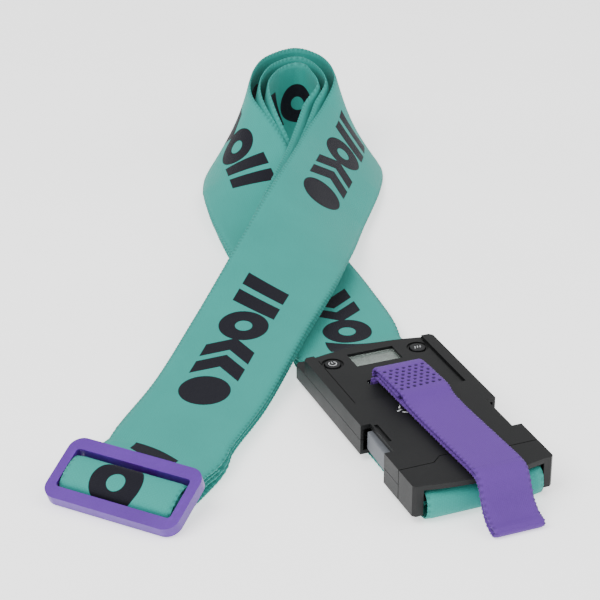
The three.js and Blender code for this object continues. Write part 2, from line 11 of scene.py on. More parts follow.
import bmesh
import bpy
from mathutils import Matrix, Vector
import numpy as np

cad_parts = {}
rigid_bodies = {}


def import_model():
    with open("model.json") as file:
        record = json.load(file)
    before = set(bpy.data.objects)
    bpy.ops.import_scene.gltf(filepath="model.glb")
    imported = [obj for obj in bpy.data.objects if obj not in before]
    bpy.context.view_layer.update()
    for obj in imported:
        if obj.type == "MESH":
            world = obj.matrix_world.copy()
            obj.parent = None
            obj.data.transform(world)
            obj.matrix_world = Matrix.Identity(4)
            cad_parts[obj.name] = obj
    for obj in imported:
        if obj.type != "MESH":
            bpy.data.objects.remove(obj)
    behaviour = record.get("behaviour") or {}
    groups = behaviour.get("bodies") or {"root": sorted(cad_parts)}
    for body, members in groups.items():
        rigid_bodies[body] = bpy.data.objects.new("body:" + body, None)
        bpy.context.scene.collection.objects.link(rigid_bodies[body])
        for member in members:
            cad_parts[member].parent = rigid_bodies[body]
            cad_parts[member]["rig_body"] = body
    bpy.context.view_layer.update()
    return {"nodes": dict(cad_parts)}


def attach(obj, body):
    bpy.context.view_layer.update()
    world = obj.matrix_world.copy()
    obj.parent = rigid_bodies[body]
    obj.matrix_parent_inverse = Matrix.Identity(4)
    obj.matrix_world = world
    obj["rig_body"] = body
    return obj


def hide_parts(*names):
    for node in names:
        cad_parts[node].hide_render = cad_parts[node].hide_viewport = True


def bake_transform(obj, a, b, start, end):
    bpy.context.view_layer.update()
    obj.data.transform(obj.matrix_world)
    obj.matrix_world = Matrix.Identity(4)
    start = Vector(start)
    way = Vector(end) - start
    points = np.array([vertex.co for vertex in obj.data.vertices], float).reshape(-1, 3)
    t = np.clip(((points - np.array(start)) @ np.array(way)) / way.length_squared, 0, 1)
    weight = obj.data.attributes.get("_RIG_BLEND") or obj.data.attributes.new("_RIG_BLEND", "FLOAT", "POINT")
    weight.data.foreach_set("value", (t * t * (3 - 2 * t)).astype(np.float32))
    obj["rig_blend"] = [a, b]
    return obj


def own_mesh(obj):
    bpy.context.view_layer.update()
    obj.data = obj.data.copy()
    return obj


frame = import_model()
nodes = frame["nodes"]

MM = 0.001
ORIGIN_SHIFT = Vector((-0.4, -1.4, 0.15))


# ---------------------------------------------------------------- camera
def make_camera():
    distance, elevation = 928, math.radians(27.1)
    data = bpy.data.cameras.new("camera")
    data.lens, data.sensor_width = 120, 36
    data.clip_start, data.clip_end = 0.05, 20
    camera = bpy.data.objects.new("camera", data)
    back = Vector((0, -math.cos(elevation), math.sin(elevation)))
    camera.location = (ORIGIN_SHIFT + back * distance) * MM
    camera.rotation_euler = (math.pi / 2 - elevation, 0, 0)
    bpy.context.scene.collection.objects.link(camera)
    bpy.context.scene.camera = camera


make_camera()


# ---------------------------------------------------------------- shader helper
class Shader:
    """Builds one material's nodes. Numbers and sockets can be mixed freely as inputs."""

    def __init__(self, name):
        self.material = bpy.data.materials.new(name)
        self.material.use_nodes = True
        self.tree = self.material.node_tree
        self.surface = self.tree.nodes["Principled BSDF"]

    def node(self, kind, **settings):
        made = self.tree.nodes.new("ShaderNode" + kind)
        for key, value in settings.items():
            setattr(made, key, value)
        return made

    def feed(self, socket, value):
        if isinstance(value, bpy.types.NodeSocket):
            self.tree.links.new(value, socket)
        else:
            socket.default_value = value

    def set(self, **inputs):
        for key, value in inputs.items():
            self.feed(self.surface.inputs[key.replace("_", " ")], value)

    def math(self, operation, *values, clamp=False):
        made = self.node("Math", operation=operation, use_clamp=clamp)
        for socket, value in zip(made.inputs, values):
            self.feed(socket, value)
        return made.outputs[0]

    def add(self, a, b):
        return self.math("ADD", a, b)

    def sub(self, a, b):
        return self.math("SUBTRACT", a, b)

    def mul(self, a, b):
        return self.math("MULTIPLY", a, b)

    def attribute(self, name):
        return self.node("Attribute", attribute_name=name).outputs["Fac"]

    def place(self):
        return self.node("TexCoord").outputs["Object"]

    def noise(self, scale, detail=3.0, roughness=0.55, vector=None):
        made = self.node("TexNoise")
        made.inputs["Scale"].default_value = scale
        made.inputs["Detail"].default_value = detail
        made.inputs["Roughness"].default_value = roughness
        self.feed(made.inputs["Vector"], vector or self.place())
        return made.outputs["Fac"]

    def spread(self, value, low, high, to_low=0.0, to_high=1.0):
        made = self.node("MapRange")
        for socket, number in zip(made.inputs, (value, low, high, to_low, to_high)):
            self.feed(socket, number)
        return made.outputs[0]

    def mix(self, factor, a, b):
        made = self.node("Mix", data_type="RGBA")
        for socket, value in zip((made.inputs[0], made.inputs[6], made.inputs[7]), (factor, a, b)):
            self.feed(socket, value)
        return made.outputs[2]

    def bump(self, height, distance, strength=1.0, under=None):
        made = self.node("Bump")
        self.feed(made.inputs["Height"], height)
        made.inputs["Distance"].default_value = distance
        made.inputs["Strength"].default_value = strength
        if under:
            self.feed(made.inputs["Normal"], under)
        return made.outputs[0]


def rgb(red, green, blue):
    """A colour given in 0 to 255 steps, in linear light."""
    def linear(step):
        part = step / 255
        return part / 12.92 if part <= 0.04045 else ((part + 0.055) / 1.055) ** 2.4
    return (linear(red), linear(green), linear(blue), 1)


def scaled(colour, factor):
    return (*(min(1, part * factor) for part in colour[:3]), 1)


# ---------------------------------------------------------------- materials
TEAL = rgb(44, 146, 136)
PRINT = rgb(8, 8, 20)
PURPLE_WEB = rgb(92, 54, 142)
PURPLE_PLASTIC = rgb(78, 24, 136)
BLACK = rgb(13, 14, 15)

PRINT_PITCH = 180                          # from one printed motif to the next
PRINT_MIDDLE = 2                           # how far above the webbing's middle the motif sits
PRINT_HALF = 11                            # half the motif's height


def motif(shader, along, across):
    """1 inside the printed motif: bold discs, rings, chevrons and slanted bars in a row."""
    p = shader.math("FLOORED_MODULO", along, PRINT_PITCH)
    q = shader.sub(across, PRINT_MIDDLE)
    q_size = shader.math("ABSOLUTE", q)
    too_high = shader.sub(q_size, PRINT_HALF)

    def from_centre(centre):
        x = shader.sub(p, centre)
        return shader.math("SQRT", shader.add(shader.mul(x, x), shader.mul(q, q)))

    def band(offset, half_width):
        edge = shader.sub(shader.math("ABSOLUTE", offset), half_width)
        return shader.math("MAXIMUM", edge, too_high)

    shapes = [
        shader.sub(from_centre(11), 11),
        band(shader.add(shader.sub(p, 34.5), shader.mul(q_size, 0.75)), 4.6),
        band(shader.add(shader.sub(p, 47.5), shader.mul(q_size, 0.75)), 4.6),
        shader.sub(shader.math("ABSOLUTE", shader.sub(from_centre(62), 7.4)), 3.6),
        band(shader.sub(shader.sub(p, 79), shader.mul(q, 0.35)), 4.4),
        band(shader.sub(shader.sub(p, 91.5), shader.mul(q, 0.35)), 4.4),
    ]
    nearest = shapes[0]
    for shape in shapes[1:]:
        nearest = shader.math("MINIMUM", nearest, shape)
    return shader.spread(nearest, 0.12, -0.12)


def webbing(name, colour, half_width, yarn, printed=False, roughness=0.72):
    """Woven polyester. yarn is the pitch of the warp in millimetres."""
    shader = Shader(name)
    along, across, hole = (shader.attribute(label) for label in ("along", "across", "hole"))
    pick = yarn * 0.72
    warp = shader.math("SINE", shader.mul(across, math.pi / yarn))
    weft = shader.math("SINE", shader.mul(along, math.pi / pick))
    crossing = shader.mul(warp, weft)
    height = shader.math("POWER", shader.math("ABSOLUTE", crossing), 0.5)
    edge = shader.spread(shader.math("ABSOLUTE", across), half_width - 1.6, half_width - 0.9)
    loops = shader.spread(shader.math("SINE", shader.mul(along, 2 * math.pi / SCALLOP)), -1, 1)

    cloud = shader.noise(38, detail=4)
    fibre = shader.noise(2600, detail=2)
    tone = shader.mix(shader.spread(cloud, 0.3, 0.7), scaled(colour, 0.93), scaled(colour, 1.05))
    # painted sheen: one set of floats in the weave checker is darkened, so the other set reads as catching
    # the light
    tone = shader.mix(shader.mul(shader.spread(crossing, -0.5, 0.5), 0.35), tone, scaled(colour, 0.86))
    tone = shader.mix(shader.mul(shader.spread(fibre, 0.42, 0.6), 0.14), tone, scaled(colour, 1.18))
    # painted shade: the weave is darkened where its threads dip, in the grooves between them
    groove_shade = shader.mul(shader.sub(1.0, shader.spread(height, 0.0, 0.55)), 0.30)
    tone = shader.mix(groove_shade, tone, scaled(colour, 0.62))
    if printed:
        ink = motif(shader, shader.attribute("print"), across)
        worn_ink = shader.mix(shader.mul(shader.spread(fibre, 0.45, 0.62), 0.2), PRINT, scaled(PRINT, 2.4))
        tone = shader.mix(ink, tone, worn_ink)
    # painted shade: the sewing dimples are darkened almost to black, as shade in the hollows
    tone = shader.mix(shader.mul(shader.spread(hole, 0.04, 0.26), 0.9), tone, scaled(colour, 0.12))
    # painted shade and highlight: along the selvedge each weft loop is darkened on one half and lightened on
    # the other
    tone = shader.mix(shader.mul(shader.mul(edge, loops), 0.45), tone, scaled(colour, 0.45))
    tone = shader.mix(shader.mul(shader.mul(edge, shader.sub(1.0, loops)), 0.22), tone, scaled(colour, 1.3))

    weave = shader.bump(height, 0.00009, 0.65)
    selvedge = shader.bump(shader.mul(edge, loops), 0.00018, 0.8, under=weave)
    shader.set(Base_Color=tone, Normal=selvedge,
               Roughness=shader.spread(cloud, 0.3, 0.7, roughness - 0.06, roughness + 0.06))
    shader.surface.inputs["Sheen Weight"].default_value = 0.08
    shader.surface.inputs["Sheen Roughness"].default_value = 0.4
    shader.surface.inputs["Specular IOR Level"].default_value = 0.2
    return shader.material


def moulded(name, colour, roughness, grain, wear=0.35, shine=0.3):
    """Moulded plastic: fine grain, faint flow marks, handling gloss and paler worn edges."""
    shader = Shader(name)
    fine = shader.noise(grain, detail=2, roughness=0.6)
    flow = shader.noise(26, detail=5)
    worn = shader.spread(shader.node("NewGeometry").outputs["Pointiness"], 0.53, 0.60)
    scuffs = shader.spread(shader.noise(420, detail=5), 0.45, 0.7)
    tone = shader.mix(shader.spread(flow, 0.3, 0.7), scaled(colour, 0.88), scaled(colour, 1.12))
    tone = shader.mix(shader.mul(shader.spread(fine, 0.35, 0.65), 0.25), tone, scaled(colour, 1.5))
    tone = shader.mix(shader.mul(shader.mul(worn, scuffs), wear), tone, scaled(colour, 2.6))
    patchy = shader.mul(shader.sub(shader.spread(flow, 0.25, 0.75), 0.5), 0.14)
    shader.set(Base_Color=tone, Normal=shader.bump(fine, 0.00006, 0.5),
               Roughness=shader.add(roughness, patchy))
    shader.surface.inputs["Specular IOR Level"].default_value = shine
    return shader.material


def metal(name, colour, roughness, along_x=False):
    """Turned or drawn metal with fine lines and a few stains."""
    shader = Shader(name)
    stretch = shader.node("Mapping")
    stretch.inputs["Scale"].default_value = (0.05, 1, 1) if along_x else (1, 1, 0.05)
    shader.feed(stretch.inputs["Vector"], shader.place())
    lines = shader.noise(4200, detail=3, vector=stretch.outputs[0])
    stain = shader.noise(140, detail=4)
    tone = shader.mix(shader.spread(stain, 0.35, 0.7), colour, scaled(colour, 0.72))
    shader.set(Base_Color=tone, Normal=shader.bump(lines, 0.00003, 0.5),
               Roughness=shader.spread(lines, 0.3, 0.7, roughness - 0.08, roughness + 0.1))
    shader.surface.inputs["Metallic"].default_value = 1.0
    return shader.material


def circuit_board_finish():
    shader = Shader("solder_mask")
    cells = shader.node("TexVoronoi", feature="DISTANCE_TO_EDGE", distance="MANHATTAN")
    cells.inputs["Scale"].default_value = 420
    shader.feed(cells.inputs["Vector"], shader.place())
    track = shader.spread(cells.outputs["Distance"], 0.05, 0.08)
    tone = shader.mix(track, rgb(60, 130, 88), rgb(24, 84, 52))
    shader.set(Base_Color=tone, Normal=shader.bump(track, 0.00004, 0.5),
               Roughness=shader.spread(shader.noise(300), 0.3, 0.7, 0.3, 0.5))
    return shader.material


def display_finish():
    """A reflective liquid crystal panel: grey-green, with a faint dot grid."""
    shader = Shader("display_panel")
    grid = shader.node("TexVoronoi", feature="F1", distance="CHEBYCHEV")
    grid.inputs["Scale"].default_value = 1500
    grid.inputs["Randomness"].default_value = 0
    shader.feed(grid.inputs["Vector"], shader.place())
    dots = shader.spread(grid.outputs["Distance"], 0.3, 0.5)
    haze = shader.noise(90, detail=4)
    tone = shader.mix(shader.spread(haze, 0.3, 0.7), rgb(126, 142, 136), rgb(150, 163, 156))
    tone = shader.mix(shader.mul(dots, 0.12), tone, rgb(96, 112, 106))
    shader.set(Base_Color=tone, Roughness=shader.spread(haze, 0.3, 0.7, 0.2, 0.3))
    return shader.material


def lens_finish():
    shader = Shader("display_lens")
    smear = shader.noise(60, detail=5)
    tone = shader.mix(shader.spread(smear, 0.4, 0.7), rgb(196, 208, 202), rgb(214, 222, 218))
    shader.set(Base_Color=tone, Roughness=shader.spread(smear, 0.35, 0.7, 0.04, 0.14))
    shader.surface.inputs["Transmission Weight"].default_value = 0.85
    return shader.material


def icon_finish():
    shader = Shader("icon_ink")
    speck = shader.noise(1800, detail=3)
    tone = shader.mix(shader.spread(speck, 0.45, 0.62), rgb(196, 198, 200), rgb(150, 153, 156))
    shader.set(Base_Color=tone, Normal=shader.bump(speck, 0.00002, 0.5),
               Roughness=shader.spread(speck, 0.3, 0.7, 0.4, 0.55))
    return shader.material


SCALLOP = 2.6                              # pitch of the selvedge's weft loops
teal_web = webbing("teal_webbing", TEAL, 25, 0.95, printed=True)
purple_web = webbing("purple_webbing", PURPLE_WEB, 11, 0.8, roughness=0.7)
black_plastic = moulded("black_plastic", BLACK, 0.5, 3200)
# painted light: the latch pads are the black plastic painted a pale grey, the tone of their lit sides
lit_grey_pad_plastic = moulded("lit_grey_pad_plastic", rgb(92, 95, 100), 0.55, 2600)
button_plastic = moulded("button_plastic", rgb(20, 21, 23), 0.42, 4200)
purple_plastic = moulded("purple_plastic", PURPLE_PLASTIC, 0.36, 1800, wear=0.15, shine=0.45)
steel = metal("steel", rgb(190, 192, 196), 0.3)
aluminium = metal("aluminium", rgb(205, 207, 210), 0.38, along_x=True)
lead_rubber = moulded("lead_insulation", rgb(150, 40, 34), 0.5, 3800, wear=0.1)
solder_mask = circuit_board_finish()
display_panel = display_finish()
display_lens = lens_finish()
icon_ink = icon_finish()


# ---------------------------------------------------------------- mesh helpers
def finished(name, verts, faces, material, body):
    """A smooth-shaded piece from millimetre vertices, riding on a body."""
    data = bpy.data.meshes.new(name)
    data.from_pydata([tuple(v * MM) for v in verts], [], faces)
    data.materials.append(material)
    data.shade_smooth()
    piece = bpy.data.objects.new(name, data)
    bpy.context.scene.collection.objects.link(piece)
    if body:
        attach(piece, body)
    return piece


def softened(node, material, width=0.45, segments=3):
    """Replaces a CAD node by a copy of its mesh with rounded edges."""
    data = nodes[node].data.copy()
    work = bmesh.new()
    work.from_mesh(data)
    bmesh.ops.remove_doubles(work, verts=work.verts, dist=2e-6)
    bmesh.ops.dissolve_limit(work, angle_limit=math.radians(1), verts=work.verts, edges=work.edges)
    work.to_mesh(data)
    work.free()
    data.materials.clear()
    data.materials.append(material)
    for attribute in [a.name for a in data.attributes if a.name == "custom_normal"]:
        data.attributes.remove(data.attributes[attribute])
    data.shade_smooth()
    piece = bpy.data.objects.new(node + "_moulding", data)
    bpy.context.scene.collection.objects.link(piece)
    bevel = piece.modifiers.new("rounding", "BEVEL")
    bevel.width, bevel.segments = width * MM, segments
    bevel.limit_method, bevel.angle_limit = "ANGLE", math.radians(32)
    bevel.miter_outer = "MITER_ARC"
    bevel.harden_normals = True
    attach(piece, nodes[node]["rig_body"])
    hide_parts(node)
    return piece


def paint_node(material, *names):
    for name in names:
        data = nodes[name].data
        data.materials.clear()
        data.materials.append(material)


# ---------------------------------------------------------------- smooth paths
def blend_at(points, t):
    """A point on the centripetal Catmull-Rom curve through points, t from 0 to 1."""
    last = len(points) - 1
    place = last * t
    i = min(int(place), last - 1)
    w = place - i
    p1, p2 = points[i], points[i + 1]
    p0 = points[i - 1] if i > 0 else p1 * 2 - p2
    p3 = points[i + 2] if i + 2 <= last else p2 * 2 - p1
    d0, d1, d2 = (math.sqrt((b - a).length) for a, b in ((p0, p1), (p1, p2), (p2, p3)))
    d1 = d1 if d1 > 1e-4 else 1.0
    d0 = d0 if d0 > 1e-4 else d1
    d2 = d2 if d2 > 1e-4 else d1
    m1 = ((p1 - p0) / d0 - (p2 - p0) / (d0 + d1) + (p2 - p1) / d1) * d1
    m2 = ((p2 - p1) / d1 - (p3 - p1) / (d1 + d2) + (p3 - p2) / d2) * d1
    square, cube = w * w, w * w * w
    return p1 + m1 * w + (p2 * 3 - p1 * 3 - m1 * 2 - m2) * square + (p1 * 2 - p2 * 2 + m1 + m2) * cube


def smooth(stations, step, sharpest=12):
    """Stations every step, and closer where the path turns by more than sharpest degrees."""
    middles, sides = [s[0] for s in stations], [s[1] for s in stations]
    last = len(stations) - 1
    dense = []
    for i in range(last):
        length = (middles[i + 1] - middles[i]).length
        enter = blend_at(middles, (i + 0.02) / last) - middles[i]
        leave = middles[i + 1] - blend_at(middles, (i + 0.98) / last)
        turn = math.degrees(enter.angle(leave, 0))
        steps = max(1, math.ceil(length / step), math.ceil(turn / sharpest))
        for k in range(steps):
            t = (i + k / steps) / last
            dense.append((blend_at(middles, t), blend_at(sides, t).normalized()))
    return dense + [stations[-1]]


def with_frames(stations):
    """(middle, across, normal) of each station."""
    framed = []
    for i, (at, across) in enumerate(stations):
        before, after = stations[max(0, i - 1)][0], stations[min(len(stations) - 1, i + 1)][0]
        travel = (after - before).normalized()
        side = (across - travel * across.dot(travel)).normalized()
        framed.append((at, side, travel.cross(side)))
    return framed


def strip(name, stations, width, thick, material, body, slot, phase=0, step=0.8, columns=16,
          scallop=0.35, shape=None, jump=(0, 0)):
    """A woven strip through stations, with rounded, scalloped selvedges.

    phase is where the strip starts in the printed pattern. shape(along, across) can lower the
    upper face, as a share of the thickness, and is kept as the attribute "hole". jump is a length
    along the strip and how far the printed pattern is moved before it.
    """
    rows = with_frames(smooth(stations, step))
    half = width / 2
    places = [-half + width * i / columns for i in range(columns + 1)]
    ring = [(x, -1) for x in places] + [(x, 1) for x in reversed(places)]
    count = len(ring)
    verts, along_values, across_values, holes, prints = [], [], [], [], []
    along, previous = phase, rows[0][0]
    for at, across, normal in rows:
        along += (at - previous).length
        previous = at
        wave = scallop * math.cos(2 * math.pi * along / SCALLOP)
        for x, face in ring:
            at_edge = max(0.0, 1 - (half - abs(x)) / 1.6)
            thickness = thick / 2 * (1 - 0.55 * at_edge ** 3)
            hole = shape(along - phase, x) if shape and face < 0 else 0.0
            outward = math.copysign(wave * at_edge, x) if at_edge else 0.0
            point = at + across * (x - outward) + normal * (face * (thickness - hole * thick))
            verts.append(point + ORIGIN_SHIFT)
            along_values.append(along)
            across_values.append(x)
            holes.append(hole)
            prints.append(along + (jump[1] if along - phase < jump[0] else 0))
    faces = []
    for i in range(len(rows) - 1):
        for k in range(count):
            a, b = count * i + k, count * i + (k + 1) % count
            faces.append((a, b, b + count, a + count))
    start, end = [], count * (len(rows) - 1)
    for k in range(columns):
        quad = (k, k + 1, count - 2 - k, count - 1 - k)
        faces.append(quad[::-1])
        start.append(quad)
        faces.append(tuple(end + j for j in quad))
    piece = finished(name, verts, faces, material, body)
    for label, values in (("along", along_values), ("across", across_values), ("hole", holes),
                          ("print", prints)):
        piece.data.attributes.new(label, "FLOAT", "POINT").data.foreach_set("value", values)
    sharp = [all(v < count for v in edge.vertices) or all(v >= end for v in edge.vertices)
             for edge in piece.data.edges]
    piece.data.attributes.new("sharp_edge", "BOOLEAN", "EDGE").data.foreach_set("value", sharp)
    return piece, along - phase


# ---------------------------------------------------------------- the two turned groups
def placed(position, tilt, yaw):
    return (Matrix.Translation(Vector(position)) @ Matrix.Rotation(math.radians(yaw), 4, "Z")
            @ Matrix.Rotation(math.radians(tilt), 4, "X"))


SLIDER_HEIGHT, SLIDER_TILT = 8.5, 24
BUCKLE = placed((70.6, -176.6, 3.3), 0, 22.3)
SLIDER = placed((-67.6, -174, SLIDER_HEIGHT), SLIDER_TILT, -27.2)


def side_view(path, matrix, flip=False):
    """Stations from a side-view path of (y, z) or (y, z, x) in a group's own frame."""
    across = matrix.to_3x3() @ Vector((-1 if flip else 1, 0, 0))
    return [(matrix @ Vector((p[2] if len(p) > 2 else 0, p[0], p[1])), across) for p in path]


def arc(y, z, radius, start, end, steps=8, x=None):
    """Side-view points on an arc, angles in degrees from the y axis."""
    points = []
    for i in range(steps + 1):
        angle = math.radians(start + (end - start) * i / steps)
        point = (y + radius * math.cos(angle), z + radius * math.sin(angle))
        points.append(point if x is None else (*point, x))
    return points


# ---------------------------------------------------------------- strap webbing
WIDTH, THICK = 50, 1.2
PITCH = 2.0                                # from one layer to the next
BOTTOM = 0.8                               # height of the middle of the lowest layer
LOOP_GAPS, LOOP_SHORTER = (0, 3.06, 5.6), (0, 8.5, 13.4)
LOOP_START_Y, LOOP_TIP_Y = 135, 201


def lean_vector(heading, lean):
    heading, lean = math.radians(heading), math.radians(lean)
    return Vector((math.cos(lean) * math.cos(heading), math.cos(lean) * math.sin(heading), math.sin(lean)))


def station(x, y, z, heading, lean):
    return Vector((x, y, z)), lean_vector(heading, lean)


def edges(low_x, low_y, high_x, high_y, high_z):
    low = Vector((low_x, low_y, 0.8))
    across = (Vector((high_x, high_y, high_z)) - low).normalized()
    return low + across * WIDTH / 2, across


LEGS_AND_LOOP = [
    station(-50.5, -135, 7.6, 156, 0), station(-37.5, -100, 8.6, 161, 1), station(-21.5, -49, 14, 163, 3),
    station(-3, 8, 21, 165, 16), station(12, 71, 20.6, 168, 37), station(22, 115, 20.5, 170, 40),
    edges(43, 149, 13, 151, 41), edges(31, 177, 17, 172, 49), edges(15, 195, 10, 191, 51),
    edges(-3, 201, -3, 201, 51), edges(-21, 190, -18, 188, 51), edges(-33, 172, -24.5, 168, 50),
    edges(-48, 142, -24, 146, 44), station(-29, 113, 18.5, 11, 33), station(-13, 57, 6.8, 16, 3),
    station(8, -2, BOTTOM + 2 * PITCH, 19, 0), station(18, -36, BOTTOM + 2 * PITCH, 21, 0),
]


def smoothstep(value, low, high):
    t = min(1, max(0, (value - low) / (high - low)))
    return t * t * (3 - 2 * t)


def layer(number):
    """The legs and loop of a layer, counted inwards from the outer one."""
    moved = []
    for at, across, normal in with_frames(LEGS_AND_LOOP):
        leaning = smoothstep(across.z, 0.29, 0.865)
        shorter = LOOP_SHORTER[number] * max(0, at.y - LOOP_START_Y) / (LOOP_TIP_Y - LOOP_START_Y)
        at = at - normal * (number * PITCH + LOOP_GAPS[number] * leaning)
        at.y -= shorter
        low_edge = at.z - across.z * WIDTH / 2 - abs(normal.z) * THICK / 2
        lift = max(0, 0.2 - low_edge)
        if across.z > 0.25:
            at = at + across * (lift / across.z)
        else:
            at.z += lift
        moved.append((at, across))
    return moved


def level(y, z):
    """A height above the table, seen in the adjuster's tilted side view."""
    tilt = math.radians(SLIDER_TILT)
    return (z - SLIDER_HEIGHT - y * math.sin(tilt)) / math.cos(tilt)


HUMP = [
    (8, level(8, BOTTOM)), (-2, level(-2, BOTTOM)), (-5.5, level(-5.5, 0.85)), (-7.3, -4.85),
    (-8.15, -3.4),
    (-8.3, -1.6), (-7.9, 0.6), (-6.3, 2.2), (-3.4, 3), (0, 3.2), (3.4, 2.8), (6, 1.6), (7.5, -0.4),
    (8.1, -2.6),
    (9, -3.9), (10.4, -4.7), (13, -6), (18, -8.1), (27, -12.9),
]
UNDER_SLIDER = [(8.5, level(8.5, BOTTOM)), (18, level(18, 1)), (27, level(27, 1.8))]
SEWN_END = [
    (27, -14.9), (18, -10.2), (13, -8), (8.6, -6), (5, -3.3), (3.5, -1.4), (3.1, 0), (2, 0.65),
    (-2, 0.65), (-3.1, 0), (-3.4, -1.4), (-3, -2.9), (-2, -3.45), (0, -3.5), (3, -4.2), (7, -7.4),
    (12, -9.9), (18, -12.4), (27, -16.9),
]
STRAP_PIN_Y, STRAP_PIN_Z, STRAP_PIN_RADIUS = 103.5, 3.6, 1.7
WEBBING_CLEARANCE = 0.9                    # from the pin's surface to the middle of the webbing
ROUND_PIN = [
    (131, 2), (122, 3.8), (114, 5.7), (108, 5.8),
    *arc(STRAP_PIN_Y, STRAP_PIN_Z, STRAP_PIN_RADIUS + WEBBING_CLEARANCE, 90, 270),
    (108, 0.75), (113, 1.6), (118, 1.4), (124, 0.9),
]
CUT_Y = 114.25                             # where the stretch that pulls out with the male half starts
ROUND_BAR = [
    (CUT_Y, -2.5), (60, -2.5), (8, -2.5), (3, -2.4), (0, -1.5), (-1.5, 0.6), (-1.9, 3.6), (-1.3, 6.8),
    (0.6, 8.8), (3.6, 9.3), (6.2, 8), (6.9, 5.4), (6.8, 2.4), (7.2, 0.3), (9, -0.85), (14, -0.9),
    (60, -0.9), (CUT_Y, -0.9),
]


def strap(node, stations, phase, body, jump=(0, 0)):
    piece, length = strip(node + "_cloth", stations, WIDTH, THICK, teal_web, body, "teal_webbing", phase,
                          jump=jump)
    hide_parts(node)
    print(piece.name, "flat length", round(length, 1), "mm")
    return piece


# The length from the start of the outer run to the first motif behind the adjuster. The print
# before it is moved on, so that the motif in the adjuster's opening ends behind its back rim.
FIRST_MOTIF = 102
BLANK_BEFORE_MOTIF = 18
MOVED_ON = -46
strap("webbing_outer_run", side_view(HUMP, SLIDER, flip=True) + layer(0) + side_view(ROUND_PIN, BUCKLE),
      PRINT_PITCH - FIRST_MOTIF, "scale_body",
      jump=(FIRST_MOTIF - BLANK_BEFORE_MOTIF, MOVED_ON))
strap("webbing_middle_run", side_view(SEWN_END, SLIDER, flip=True) + layer(1)
      + side_view([(128, -0.7), (118, -0.9), (CUT_Y, -0.9)], BUCKLE),
      30, "scale_body")
strap("webbing_inner_run", side_view(UNDER_SLIDER, SLIDER, flip=True) + layer(2)
      + side_view([(128, -2.5), (118, -2.5), (CUT_Y, -2.5)], BUCKLE), 60, "scale_body")
buckle_run = strap("webbing_buckle_run", side_view(ROUND_BAR, BUCKLE), 40, None)
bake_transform(buckle_run, "scale_body", "male_half",
         start=(BUCKLE @ Vector((0, 113, 0)) + ORIGIN_SHIFT) * MM,
         end=(BUCKLE @ Vector((0, 24, 0)) + ORIGIN_SHIFT) * MM)


# ---------------------------------------------------------------- lifting handle
HANDLE_WIDTH, HANDLE_THICK = 22, 1.4
PIN_Y, PIN_Z, PIN_BEND = 81.5, 6, 3
ANCHOR = [
    (80.55, 13.6), (80.55, 11.4), (79.6, 9.4), (78.5, 7.2), *arc(PIN_Y, PIN_Z, PIN_BEND, 180, 360),
    (84.5, 7.2), (83.4, 9.4), (82.45, 11.4), (82.45, 13.6),
]
LOWER_RUN = [
    (80.6, 14.6, 0.5), (79, 15.1, 0.6), (76, 15.2, 0.7), (64, 15, 1.3), (45, 14.6, 2.2), (25, 14.4, 3.2),
    (4, 14.4, 4.2), (-1, 14.4, 4.4),
]
HANGING_END = [
    (-1, 14.4, 4.4), (-3.4, 14.1, 4.5), (-6.2, 12.2, 4.6), (-8.1, 8, 4.7), (-9.7, 4, 4.8),
    (-12.2, 0.4, 4.9), (-15.4, -1.8, 4.9), (-18.7, -2.55, 4.9),
    *arc(-19.2, -1.1, 1.45, -90, -270, 6, x=4.9),
    (-17.6, 0.5, 4.9), (-14.2, 2.1, 4.9), (-11.2, 5.2, 4.8), (-8.7, 10, 4.7), (-6.7, 14, 4.6),
    (-3.8, 16.2, 4.5), (-1, 16.5, 4.4),
]
UPPER_RUN = [
    (-1, 16.5, 4.4), (4, 16.5, 4.2), (25, 16.4, 3.2), (45, 16.6, 2.2), (53, 17.4, 1.8), (56.5, 18.8, 1.7),
    (60, 19.2, 1.5), (66, 19.2, 1.2), (78, 19.1, 0.6), (81.2, 18.4, 0.5), (82.2, 16.6, 0.5),
    (82.3, 14.6, 0.5),
]


def handle(node, path, body="handle", held="folded", rests_on=("top_cover",), **details):
    piece, length = strip(node + "_cloth", side_view(path, BUCKLE), HANDLE_WIDTH, HANDLE_THICK, purple_web,
                          body, "purple_webbing", scallop=0.55, **details)
    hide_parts(node)
    print(piece.name, "flat length", round(length, 1), "mm")
    return piece


def stitch_holes(along, across):
    """Depth of the dimples that the zigzag sewing presses into the lap on top of the slot."""
    first, rows, pitch_y, pitch_x, radius = 62, 7, 2.5, 2.9, 0.85
    row = round((along - first) / pitch_y)
    if not 0 <= row < rows:
        return 0.0
    offset = pitch_x / 2 if row % 2 else 0
    column = round((across - offset) / pitch_x)
    if abs(column * pitch_x + offset) > HANDLE_WIDTH / 2 - 1.6:
        return 0.0
    distance = math.hypot(along - first - row * pitch_y, across - offset - column * pitch_x)
    return 0.42 * max(0.0, 1 - (distance / radius) ** 2) ** 0.6


handle("handle_anchor", ANCHOR, body="scale_body", rests_on=["load_pin"], columns=12)
handle("handle_lower_run", LOWER_RUN, held="laid", columns=12)
handle("handle_upper_run", UPPER_RUN, held="laid", columns=56, step=0.4, shape=stitch_holes)
hanging_end = handle("handle_hanging_end", HANGING_END, held="hung", columns=12, rests_on=["floor"])
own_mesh(hanging_end)
handle("handle_lap", [(59, 17.1, 1), (79, 17.1, 1)], held="laid", columns=12)


